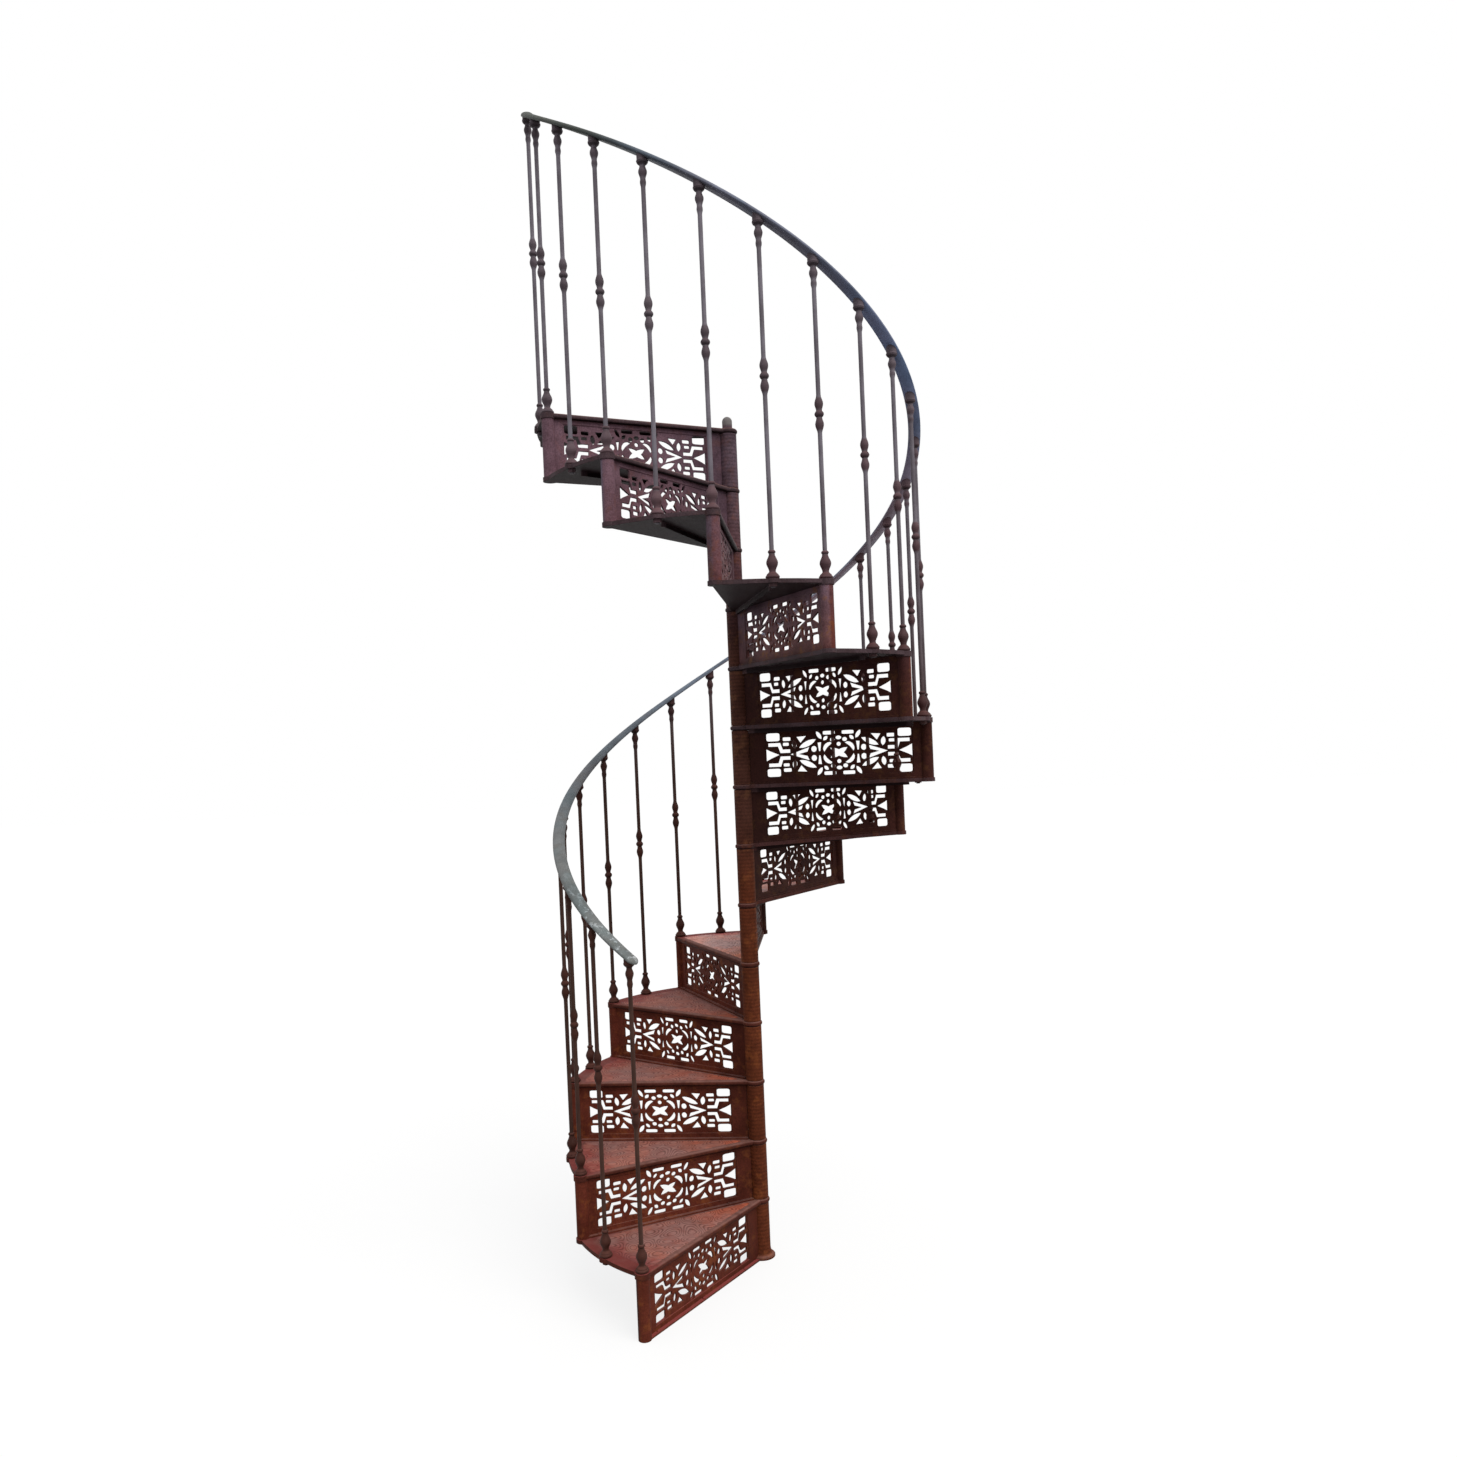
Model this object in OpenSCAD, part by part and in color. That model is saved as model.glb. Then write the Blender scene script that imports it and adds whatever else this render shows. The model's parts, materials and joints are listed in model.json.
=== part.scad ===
// Spiral staircase in cast iron: wedge treads round a newel, pierced risers,
// turned balusters and a climbing handrail. Millimetres, +Z up, foot on z = 0.

/* [Stair] */
// Number of treads
steps = 14; // [6:1:20]
// Height from one tread to the next
rise = 190; // [170:1:220]
// Turn of one tread in degrees
step_turn = 30; // [24:1:36]
// Radius of the circle that the balusters stand on
baluster_circle = 591; // [520:1:760]
// Direction of the first riser in degrees
first_riser = 240; // [0:1:359]

/* [Newel] */
// Diameter of the central tie rod
rod_d = 26; // [20:1:32]
// Outside diameter of a column sleeve
sleeve_d = 56; // [50:1:70]
// Diameter of the rounded collar at each tread
collar_d = 63; // [58:1:80]
// Height of the collar
collar_h = 17; // [14:1:24]
// Diameter of the flared foot
foot_d = 84; // [76:1:130]
// Height of the flared foot
foot_h = 32; // [20:1:60]
// Diameter of the domed head of the rod
head_d = 32; // [30:1:44]
// Height of the domed head
head_h = 41; // [24:1:60]

/* [Tread] */
// Thickness of the tread plate
tread_t = 12; // [9:0.5:14]
// Diameter of the rounded nosing
nosing_d = 16; // [14:0.5:18]
// Reach of the nosing in front of the riser plane
nosing_reach = 20; // [18:1:26]
// Lap of the plate behind the next riser plane
back_lap = 10; // [8:1:16]
// Reach of the plate outside the baluster circle
edge_reach = 12; // [6:1:16]
// Diameter of the corner lobes
lobe_d = 44; // [42:1:52]
// Diameter of the middle lobe
mid_lobe_d = 40; // [36:1:48]
// Width of the rib under the tread
rib_w = 7; // [5:1:12]
// Depth of the rib under the plate
rib_drop = 14; // [8:1:30]

/* [Riser] */
// Thickness of the plain frame
frame_t = 10; // [8:1:14]
// Thickness of the pierced panel
lattice_t = 6; // [4:0.5:7]
// Radius at which the pierced panel begins
lattice_from = 79; // [70:1:110]
// Width of the stile beside the corner post
outer_stile = 24; // [18:1:40]
// Height of the frame over the pierced panel
top_rail = 15; // [12:1:24]
// Height of the frame under the pierced panel
bottom_rail = 19; // [14:1:30]
// Diameter of the corner post
post_d = 38; // [34:1:40]
// Thickness of the foot flange
flange_t = 5; // [3:0.5:8]
// Reach of the foot flange in front of the riser plane
flange_reach = 16; // [8:1:20]

/* [Baluster] */
// Height of the rail's underside over a nosing
rail_height = 877; // [800:1:1000]
// Diameter of the plain shaft
shaft_d = 12.5; // [11:0.5:16]
// Diameter of the foot ring
base_d = 39; // [34:1:42]
// Diameter of the vase over the foot
vase_d = 32; // [28:1:40]
// Diameter of the ring in the middle knop
knop_d = 26; // [22:1:40]
// Diameter of the bulbs beside the ring and under the capital
bulb_d = 24; // [20:1:36]
// Depth of the knop's middle under the rail
knop_drop = 427; // [380:1:470]
// Diameter of the capital under the rail
capital_d = 33; // [28:1:36]
// Diameter of the tenon
tenon_d = 12; // [10:0.5:14]
// Width of the nut across its corners
nut_d = 24; // [20:1:30]

/* [Handrail] */
// Width of the rail
rail_w = 38; // [32:1:50]
// Thickness of the rail
rail_t = 13; // [10:0.5:20]
// Length of rail in front of the first baluster
rail_lead = 30; // [24:1:60]
// Length of rail behind the last baluster
rail_tail = 24; // [22:1:60]

/* [Fits] */
// Gap between seated faces
seat_gap = 0.2; // [0.1:0.05:0.3]
// Radial clearance of rods and tenons in their bores
bore_gap = 0.5; // [0.3:0.1:0.8]

/* [Hidden] */
$fn = 48;
bore_r = rod_d / 2 + bore_gap;
sleeve_r = sleeve_d / 2;
collar_crown = 1;
collar_low = collar_crown - collar_h;
collar_flat = sleeve_r - 4;
collar_bulge = collar_h / 2 - 0.3;
corner_boss = -collar_low;
tenon_hole_r = tenon_d / 2 + bore_gap;
tenon_depth = corner_boss + 30;
nut_h = 9;
shaft_r = shaft_d / 2;
neck_r = 9;
bead_r = 10.5;
knop_reach = 53;
bulb_at = 28;
ring_half = 9;
lattice_to = baluster_circle - post_d / 2 - outer_stile;
lattice_top = -tread_t - top_rail;
lattice_low = bottom_rail - rise;
lattice_mid = [(lattice_from + lattice_to) / 2, (lattice_top + lattice_low) / 2];
lattice_half = [(lattice_to - lattice_from) / 2, (lattice_top - lattice_low) / 2];
pattern_half = [234, 72];
slope = atan(rise / (baluster_circle * step_turn * PI / 180));
rail_edge = 3;
rail_sides = 8;
rings_per_step = 8;
tip_rings = 4;
lead_turn = rail_lead * cos(slope) / (baluster_circle * PI / 180) / step_turn;
tail_turn = rail_tail * cos(slope) / (baluster_circle * PI / 180) / step_turn;

function two(k) = str(k < 10 ? "0" : "", k);
function names(word) = [for (k = [1:steps]) str(word, "_", two(k))];

// Points of a smooth change of radius from r0 at z0 to r1 at z1, without the first point
function ease(z0, z1, r0, r1, n = 5) =
    [for (i = [1:n]) [r0 + (r1 - r0) * (1 - cos(180 * i / n)) / 2, z0 + (z1 - z0) * i / n]];

// Points of a rounded ring of height h and radius r1 on a stem of radius r0, without the first point
function bead(z, h, r0, r1, n = 6) =
    [for (i = [1:n]) [r0 + (r1 - r0) * sin(180 * i / n), z + h * i / n]];

// Pointed leaf from p to q, w wide at its middle
function leaf(p, q, w, n = 6) =
    let (d = q - p, side = [-d.y, d.x] / norm(d) * w / 2)
    concat(
        [for (i = [0:n]) p + d * i / n + side * pow(sin(180 * i / n), 0.7)],
        [for (i = [n - 1:-1:1]) p + d * i / n - side * pow(sin(180 * i / n), 0.7)]
    );

// Oval of half sizes a and b; a power under 1 squares it off
function oval(c, a, b, power = 1, n = 12) =
    [for (i = [0:n - 1]) let (t = 360 * (i + 0.5) / n)
        c + [a * sign(cos(t)) * pow(abs(cos(t)), power), b * sign(sin(t)) * pow(abs(sin(t)), power)]];

// Crescent of width w along an arc of radius r about c
function crescent(c, r, w, from, to, n = 6) =
    let (half = [for (i = [0:n]) w / 2 * pow(sin(180 * i / n), 0.6)])
    concat(
        [for (i = [0:n]) let (t = from + (to - from) * i / n) c + (r + half[i]) * [cos(t), sin(t)]],
        [for (i = [n - 1:-1:1]) let (t = from + (to - from) * i / n) c + (r - half[i]) * [cos(t), sin(t)]]
    );

// Bar of half sizes a and b with well rounded corners
function bar(c, a, b) = oval(c, a, b, 0.35);

// Level bar of width w that leaves p, steps up or down at x = knee and ends level at q
function stepped_bar(p, q, knee, w) =
    let (lean = (q.y - p.y) / 4, up = [0, w / 2])
    [
        p + up,
        [knee - lean - 0.2 * w, p.y] + up,
        [knee + lean - 0.5 * w, q.y] + up,
        q + up,
        q - up,
        [knee + lean + 0.2 * w, q.y] - up,
        [knee - lean + 0.5 * w, p.y] - up,
        p - up
    ];

// Places the parts of step k: x along its riser, z = 0 on its tread
module at_step(k)
    translate([0, 0, k * rise])
    rotate(first_riser - step_turn * (k - 1))
        children();

// Stands a flat drawing up in the riser plane with thickness t
module upright(t)
    translate([0, t / 2, 0])
    rotate([90, 0, 0])
    linear_extrude(height = t)
        children();

// One opening of the pattern, fitted to the panel
module opening(points)
    polygon([for (p = points) [p.x * lattice_half.x / pattern_half.x, p.y * lattice_half.y / pattern_half.y]]);

// Openings that stand in all four quarters of the panel
module quarter_openings() {
    opening(oval([19.5, 42], 7.5, 6.5));
    opening(crescent([21, 6], 25.5, 12, -4, 93));
    opening([[55.5, 35], [66.5, 34], [63, 7], [59, 7]]);
    opening(leaf([54, 45], [70, 70], 12));
    opening(leaf([35, 54], [48, 41], 11));
    opening(bar([30, 64.5], 19, 5.8));
    opening(oval([79, 14.5], 8.5, 9.5));
    opening(leaf([72, 45], [126, 20], 17));
    opening(leaf([139, 17], [143, 46], 15));
    opening([[103, 57], [121, 36], [133, 55]]);
    opening(bar([165, 49.5], 12.5, 5.8));
    opening(bar([168, 33], 9.5, 5));
    opening(stepped_bar([155, 11], [224, 32.5], 186, 11));
    opening(bar([208.5, 57], 21.5, 13));
}

// Openings on the panel's upright middle line
module middle_openings() {
    opening(oval([0, 27.5], 6.5, 6.5));
    opening(oval([0, 48], 9, 6));
}

// Openings on the panel's level middle line, with half of the cross at its centre
module end_openings() {
    opening([[94, 21], [100, 7], [128, 0], [100, -7], [94, -21], [154, 0]]);
    opening([[190, 0], [216, -11], [231, -19], [231, 19], [216, 11]]);
    opening(leaf([-27, -16], [27, 16], 18));
}

// Fretwork of a riser, drawn flat
module fretwork() {
    difference() {
        translate(lattice_mid - lattice_half - [2, 2])
            square(2 * lattice_half + [4, 4]);
        translate(lattice_mid) {
            for (sx = [0, 1], sy = [0, 1])
                mirror([sx, 0])
                mirror([0, sy])
                    quarter_openings();
            for (sy = [0, 1])
                mirror([0, sy])
                    middle_openings();
            for (sx = [0, 1])
                mirror([sx, 0])
                    end_openings();
        }
    }
}

// Plain frame of a riser, drawn flat
module riser_frame() {
    inner = sleeve_r + seat_gap;
    difference() {
        translate([inner, -rise])
            square([baluster_circle - inner, rise - tread_t]);
        translate(lattice_mid - lattice_half)
            square(2 * lattice_half);
    }
}

module riser(k) {
    color("#5a2a24")
    at_step(k)
    difference() {
        union() {
            upright(frame_t)
                riser_frame();
            upright(lattice_t)
                fretwork();
            translate([sleeve_r + seat_gap, -frame_t / 2 - 3, -rise])
                cube([baluster_circle - sleeve_r, frame_t / 2 + 3 + flange_reach, flange_t]);
            translate([baluster_circle, 0, -rise])
                cylinder(d = post_d, h = rise - corner_boss);
        }
        translate([0, 0, collar_low - seat_gap])
            cylinder(d = collar_d + 2 * seat_gap, h = corner_boss);
        translate([baluster_circle, 0, -corner_boss])
            cylinder(d = lobe_d + 2 * seat_gap, h = corner_boss);
        translate([baluster_circle, 0, -tenon_depth - seat_gap])
            cylinder(r = tenon_hole_r, h = tenon_depth);
        cylinder(r = sleeve_r + seat_gap, h = 3 * rise, center = true);
    }
}

// Outline of a tread plate, seen from above
module tread_outline() {
    reach = baluster_circle + edge_reach;
    intersection() {
        circle(r = reach, $fn = 180);
        polygon([
            [0, 0],
            [0, nosing_reach - nosing_d / 2],
            [reach, nosing_reach - nosing_d / 2],
            reach * [cos(step_turn / 2), -sin(step_turn / 2)] * 1.3,
            reach * [cos(step_turn), -sin(step_turn)] - back_lap * [sin(step_turn), cos(step_turn)],
            -back_lap * [sin(step_turn), cos(step_turn)]
        ]);
    }
    rotate(-step_turn)
    translate([baluster_circle, 0])
        circle(d = lobe_d);
    rotate(-step_turn / 2)
    translate([baluster_circle, 0])
        circle(d = mid_lobe_d);
}

// Rounded collar that carries the sleeves
module collar() {
    rotate_extrude() {
        translate([0, collar_low])
            square([collar_flat, collar_h]);
        translate([collar_d / 2 - collar_bulge, collar_low + collar_h / 2])
            circle(r = collar_bulge);
    }
}

module tread(k) {
    color("#8a5f58")
    at_step(k)
    difference() {
        union() {
            translate([0, 0, -tread_t])
            linear_extrude(height = tread_t)
                tread_outline();
            translate([0, nosing_reach - nosing_d / 2, 0.5 - nosing_d / 2])
            rotate([0, 90, 0])
                cylinder(d = nosing_d, h = baluster_circle);
            translate([baluster_circle, 0, -corner_boss])
                cylinder(d = lobe_d, h = corner_boss);
            collar();
            rotate(-step_turn / 2)
            translate([sleeve_r, -rib_w / 2, -tread_t - rib_drop])
                cube([baluster_circle - mid_lobe_d / 2 - nut_d / 2 - sleeve_r, rib_w, rib_drop + 1]);
        }
        cylinder(r = bore_r, h = 3 * collar_h, center = true);
        translate([0, 0, collar_low - rise])
            cylinder(r = sleeve_r + seat_gap, h = rise);
        for (turn = [0, -step_turn / 2])
            rotate(turn)
            translate([baluster_circle, 0, 0])
                cylinder(r = tenon_hole_r, h = 3 * corner_boss, center = true);
    }
}

// Outline of a turned baluster whose axis meets the rail at height top
function turning(top) =
    let (mid = top - knop_drop, vase = vase_d / 2, bulb = bulb_d / 2, cap = capital_d / 2)
    concat(
        [[0, 0], [base_d / 2 - 3, 0]],
        bead(0, 10, base_d / 2 - 3, base_d / 2),
        ease(10, 20, base_d / 2 - 3, neck_r),
        ease(20, 43, neck_r, vase),
        ease(43, 68, vase, neck_r - 1),
        bead(68, 9, neck_r - 1, bead_r),
        [[shaft_r, 77.5], [shaft_r, mid - knop_reach]],
        ease(mid - knop_reach, mid - bulb_at, shaft_r, bulb),
        ease(mid - bulb_at, mid - ring_half, bulb, neck_r - 1),
        bead(mid - ring_half, 2 * ring_half, neck_r - 1, knop_d / 2),
        ease(mid + ring_half, mid + bulb_at, neck_r - 1, bulb),
        ease(mid + bulb_at, mid + knop_reach, bulb, shaft_r),
        [[shaft_r, top - 86]],
        ease(top - 86, top - 72, shaft_r, bead_r - 2),
        ease(top - 72, top - 62, bead_r - 2, neck_r - 1.5),
        ease(top - 62, top - 43, neck_r - 1.5, bulb),
        ease(top - 43, top - 27, bulb, neck_r - 1),
        ease(top - 27, top - 17, neck_r - 1, cap - 1),
        bead(top - 17, 5, cap - 1, cap),
        [[cap - 1.5, top - 11.5], [cap - 1.5, top + cap], [0, top + cap]]
    );

// One baluster on the local axis, trimmed to the slope of the rail
module baluster(top, tenon) {
    difference() {
        union() {
            rotate_extrude()
                polygon(turning(top));
            translate([0, 0, -tenon])
                cylinder(d = tenon_d, h = tenon + 1);
        }
        translate([0, 0, top - seat_gap])
        rotate([-slope, 0, 0])
        translate([-capital_d, -2 * capital_d, 0])
            cube([2 * capital_d, 4 * capital_d, 2 * capital_d]);
    }
}

module balusters(k) {
    color("#54484c")
    at_step(k) {
        translate([baluster_circle, 0, 0])
            baluster(rail_height, tenon_depth);
        rotate(-step_turn / 2)
        translate([baluster_circle, 0, 0]) {
            baluster(rail_height + rise / 2, tread_t + nut_h + 3);
            translate([0, 0, -tread_t - nut_h])
                cylinder(d = nut_d, h = nut_h, $fn = 6);
        }
    }
}

module newel_sleeves() {
    color("#7a3c26") {
        rotate_extrude()
        difference() {
            polygon(concat(
                [[0, 0], [foot_d / 2, 0], [foot_d / 2, 5]],
                [for (i = [0:6]) let (t = 90 * i / 6)
                    [sleeve_r + (foot_d / 2 - 3 - sleeve_r) * (1 - sin(t)), foot_h - (foot_h - 8) * cos(t)]],
                [[sleeve_r, rise + collar_low], [0, rise + collar_low]]
            ));
            square([2 * bore_r, 3 * rise], center = true);
        }
        for (k = [2:steps])
            translate([0, 0, (k - 1) * rise + collar_crown])
            difference() {
                cylinder(d = sleeve_d, h = rise - collar_h);
                translate([0, 0, -1])
                    cylinder(r = bore_r, h = rise);
            }
    }
}

module centre_rod() {
    top = steps * rise + collar_crown;
    color("#6a4a44") {
        translate([0, 0, 3])
            cylinder(d = rod_d, h = top);
        translate([0, 0, top])
        rotate_extrude()
            polygon(concat(
                [[0, 0], [head_d / 2, 0]],
                [for (i = [0:5]) let (t = 90 * i / 6)
                    [head_d / 2 * cos(t), head_h - head_d / 2 * (1 - sin(t))]],
                [[0, head_h]]
            ));
    }
}

// Flat-bottomed half oval of the rail, from its inner to its outer edge
function rail_section(s) =
    concat(
        [[-rail_w / 2 * s, 0]],
        [for (i = [0:rail_sides]) let (t = 180 - 180 * i / rail_sides)
            [rail_w / 2 * s * cos(t), rail_edge + (rail_t - rail_edge) * sin(t) * s]],
        [[rail_w / 2 * s, 0]]
    );

// Places section point p of the rail at t steps from the first riser
function on_rail(p, t) =
    let (a = first_riser - step_turn * (t - 1), z = rise * t + rail_height)
    [
        (baluster_circle + p.x) * cos(a) - p.y * sin(slope) * sin(a),
        (baluster_circle + p.x) * sin(a) + p.y * sin(slope) * cos(a),
        z + p.y * cos(slope)
    ];

module handrail() {
    tip = rail_w / 2 * cos(slope) / (baluster_circle * PI / 180) / step_turn;
    start = 1 - lead_turn;
    end = steps + 0.5 + tail_turn;
    body = [for (i = [rings_per_step:rings_per_step * (steps + 0.5)]) [i / rings_per_step, 1]];
    lead = [for (i = [0:tip_rings]) let (c = 90 * (i + 0.5) / (tip_rings + 0.5)) [start + tip * (1 - cos(c)), sin(c)]];
    tail = [for (i = [tip_rings:-1:0]) let (c = 90 * (i + 0.5) / (tip_rings + 0.5)) [end - tip * (1 - cos(c)), sin(c)]];
    rings = concat(lead, body, tail);
    side = rail_sides + 3;
    last = len(rings) - 1;
    points = [for (r = rings) for (p = rail_section(r[1])) on_rail(p, r[0])];
    walls = [for (i = [0:last - 1]) for (j = [0:side - 1])
        let (a = i * side + j, b = i * side + (j + 1) % side)
        each [[a, b, b + side], [a, b + side, a + side]]];
    caps = [for (j = [1:side - 2]) each [[0, j + 1, j], [last * side, last * side + j, last * side + j + 1]]];
    color("#4c5653")
        polyhedron(points = points, faces = concat(walls, caps), convexity = 8);
}

newel_sleeves();
centre_rod();
handrail();
for (k = [1:steps]) {
    riser(k);
    tread(k);
    balusters(k);
}
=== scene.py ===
# %% [markdown]
# # A cast-iron spiral staircase
# Fourteen wedge treads climb clockwise round a newel, with pierced risers, turned balusters and one
# long handrail. The solids come in from the frame in metres, so what is made here only dresses them:
# a finer handrail, small cast detail, and old paint with its dust, rust and wear.

# %% Load the frame
import bpy
import json
import math
import numpy as np
from mathutils import Matrix, Vector


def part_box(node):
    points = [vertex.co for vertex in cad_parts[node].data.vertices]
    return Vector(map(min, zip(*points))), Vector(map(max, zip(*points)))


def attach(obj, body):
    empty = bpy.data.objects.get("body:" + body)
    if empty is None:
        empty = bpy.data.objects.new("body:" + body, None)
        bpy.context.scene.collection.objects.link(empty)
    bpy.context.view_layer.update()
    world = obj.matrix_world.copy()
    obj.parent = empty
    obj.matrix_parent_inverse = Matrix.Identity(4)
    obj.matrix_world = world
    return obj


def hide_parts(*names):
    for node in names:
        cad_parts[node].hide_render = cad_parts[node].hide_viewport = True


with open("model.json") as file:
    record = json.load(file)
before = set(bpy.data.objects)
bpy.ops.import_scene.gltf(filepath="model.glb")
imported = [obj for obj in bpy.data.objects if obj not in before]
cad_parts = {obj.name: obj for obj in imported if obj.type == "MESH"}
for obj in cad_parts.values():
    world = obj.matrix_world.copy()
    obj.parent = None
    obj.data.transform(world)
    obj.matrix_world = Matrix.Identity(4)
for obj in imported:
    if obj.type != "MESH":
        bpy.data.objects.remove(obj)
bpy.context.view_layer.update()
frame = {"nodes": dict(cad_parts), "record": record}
nodes = frame["nodes"]
scene = bpy.context.scene

# %% [markdown]
# ## Sizes that the new pieces share with the solids
# The stair is regular, so a few driving sizes place everything: the rise, the turn of a step, the
# bearing of the first riser and the circle that the balusters stand on. The number of steps and the
# rise are read from the solids themselves, so they cannot disagree with them.

# %% Sizes
STEPS = sum(name.startswith("tread_") for name in nodes)
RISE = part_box("tread_02")[1].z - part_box("tread_01")[1].z
STEP_TURN = math.radians(30)
FIRST_RISER = math.radians(240)
CIRCLE = 0.591
print(STEPS, "steps of", round(RISE, 4), "m, balusters on a circle of", CIRCLE, "m")

# %% [markdown]
# ## Helpers for node trees
# A node tree gets long when each socket is set on a line of its own. `put` adds one node, sets its
# options and fills its inputs: an output socket is linked and anything else becomes a plain value.
# The others are short names for the nodes that paint needs most.

# %% Helpers: nodes
def put(tree, kind, inputs=None, **options):
    """A new node of this kind, with its options set and its inputs linked or given a value."""
    node = tree.nodes.new(kind)
    for name, value in options.items():
        setattr(node, name, value)
    for key, value in (inputs or {}).items():
        if isinstance(value, bpy.types.NodeSocket):
            tree.links.new(value, node.inputs[key])
        else:
            node.inputs[key].default_value = value
    return node


def spread(tree, value, low, high, to_low=0.0, to_high=1.0):
    """The value, eased from the range low..high into to_low..to_high and clamped there."""
    node = put(tree, "ShaderNodeMapRange", {0: value, 1: low, 2: high, 3: to_low, 4: to_high},
               interpolation_type="SMOOTHSTEP")
    return node.outputs[0]


def sums(tree, operation, a, b=0.0):
    """One step of arithmetic on two values."""
    return put(tree, "ShaderNodeMath", {0: a, 1: b}, operation=operation).outputs[0]


def mix(tree, factor, a, b, blend="MIX"):
    """Colour a changed towards colour b by the factor."""
    node = put(tree, "ShaderNodeMix", {0: factor, 6: a, 7: b}, data_type="RGBA", blend_type=blend)
    return node.outputs[2]


def grey(tree, value):
    """A grey of this value, to lighten or darken a colour by."""
    return put(tree, "ShaderNodeCombineColor", {0: value, 1: value, 2: value}).outputs[0]


print("node helpers ready")

# %% [markdown]
# ## Where a point is and where it looks
# Weather and wear depend on the place: high or low, near the newel or at the rim, on top or beneath.
# Object coordinates are metres from the foot of the newel, because every solid keeps its origin
# there, so the height is Z and the distance from the axis is the length of X and Y alone.

# %% Helpers: places
def spot_on(tree):
    """The place of a point, in metres from the foot of the newel."""
    return put(tree, "ShaderNodeTexCoord").outputs["Object"]


def height_of(tree, spot):
    """The height of a place, or the upward part of a direction."""
    return put(tree, "ShaderNodeSeparateXYZ", {0: spot}).outputs["Z"]


def level_of(tree, spot):
    """A place brought down to the ground: the same X and Y with no height."""
    return put(tree, "ShaderNodeVectorMath", {0: spot, 1: (1, 1, 0)}, operation="MULTIPLY").outputs[0]


def reach_of(tree, spot):
    """The distance of a place from the axis of the newel."""
    return put(tree, "ShaderNodeVectorMath", {0: level_of(tree, spot)}, operation="LENGTH").outputs["Value"]


def normal_of(tree):
    """The direction that a face looks in."""
    return put(tree, "ShaderNodeNewGeometry").outputs["Normal"]


def noise(tree, spot, scale, detail=4.0, rough=0.6):
    """Cloudy noise at this many lumps a metre."""
    node = put(tree, "ShaderNodeTexNoise",
               {"Vector": spot, "Scale": scale, "Detail": detail, "Roughness": rough})
    return node.outputs["Fac"]


print("place helpers ready")

# %% [markdown]
# ## Groups and materials
# An effect that several finishes share is a node group: built once, with named inputs, and placed in
# each material with its own values. A change to the group then reaches every finish at once.

# %% Helpers: groups and materials
VALUE, COLOUR, NORMAL = "NodeSocketFloat", "NodeSocketColor", "NodeSocketVector"


def new_group(name, colours=(), values=(), outputs=()):
    """An empty node group; returns its tree, the sockets that it is given and its output node."""
    tree = bpy.data.node_groups.new(name, "ShaderNodeTree")
    for label in colours:
        tree.interface.new_socket(label, in_out="INPUT", socket_type=COLOUR)
    for label in values:
        tree.interface.new_socket(label, in_out="INPUT", socket_type=VALUE)
    for label, kind in outputs:
        tree.interface.new_socket(label, in_out="OUTPUT", socket_type=kind)
    return tree, tree.nodes.new("NodeGroupInput").outputs, tree.nodes.new("NodeGroupOutput")


def use_group(tree, group, inputs=None):
    """The outputs of a group placed in this tree, with its inputs linked or given a value."""
    return put(tree, "ShaderNodeGroup", inputs, node_tree=group).outputs


def painted(name):
    """A new material; returns it, its node tree and its Principled shader."""
    material = bpy.data.materials.new(name)
    material.use_nodes = True
    return material, material.node_tree, material.node_tree.nodes["Principled BSDF"]


print("group helpers ready")

# %% [markdown]
# ## Height, facing and clouds
# Three small effects turn up in several finishes. A mask of height separates the foot of the stair
# from its top, the upward part of the normal separates tops from undersides, and two tints mixed by
# slow noise make paint patchy, as it is after years of touching up.

# %% Node groups: height, facing and clouds
climbed, given, out = new_group("above_height", values=("From", "To"), outputs=(("Above", VALUE),))
height = height_of(climbed, spot_on(climbed))
climbed.links.new(spread(climbed, height, given["From"], given["To"]), out.inputs["Above"])

upward, given, out = new_group("facing_up", outputs=(("Up", VALUE),))
upward.links.new(height_of(upward, normal_of(upward)), out.inputs["Up"])

clouded, given, out = new_group("cloud_tint", colours=("First", "Second"),
                                values=("Scale", "Detail", "Roughness"), outputs=(("Tint", COLOUR),))
cloud = noise(clouded, spot_on(clouded), given["Scale"], given["Detail"], given["Roughness"])
tint = mix(clouded, spread(clouded, cloud, 0.40, 0.60), given["First"], given["Second"])
clouded.links.new(tint, out.inputs["Tint"])


def above(tree, low, high):
    """0 below the low height and 1 above the high one."""
    return use_group(tree, climbed, {"From": low, "To": high})["Above"]


print("groups", climbed.name, upward.name, clouded.name)

# %% [markdown]
# ## Old paint on cast iron
# All the finishes are one idea: paint that changes colour as the stair climbs, blotched by weather, grainy
# as a sand casting is, rusty in patches, worn at the edges, dusty on top and with painted shade underneath.
# One node group holds that idea, so each material only picks its own colours and amounts. It starts
# with the paint itself: two colours blended over a range of heights, blotches of cloudy noise that
# darken it, and fine grain that makes it lighter and darker by turns.

# %% Aged paint: colour and grain
BLOTCHED = (0.40, 0.36, 0.35, 1)
aged, chosen, aged_out = new_group(
    "aged_paint",
    colours=("Low Paint", "High Paint", "Dust Colour", "Rust Colour", "Worn Colour"),
    values=("Dust", "Rust", "Worn", "Shade", "Grain", "Climb From", "Climb To"),
    outputs=(("Colour", COLOUR), ("Roughness", VALUE), ("Normal", NORMAL)),
)
spot = spot_on(aged)
climb = spread(aged, height_of(aged, spot), chosen["Climb From"], chosen["Climb To"])
blotch = spread(aged, noise(aged, spot, scale=9.0, detail=5.0, rough=0.65), 0.38, 0.64)
grain = noise(aged, spot, scale=240.0, detail=3.0, rough=0.7)
paint = mix(aged, climb, chosen["Low Paint"], chosen["High Paint"])
paint = mix(aged, sums(aged, "MULTIPLY", blotch, 0.55), paint, BLOTCHED, "MULTIPLY")
specks = grey(aged, spread(aged, grain, 0.3, 0.7, 0.72, 1.28))
paint = mix(aged, chosen["Grain"], paint, specks, "MULTIPLY")
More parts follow.
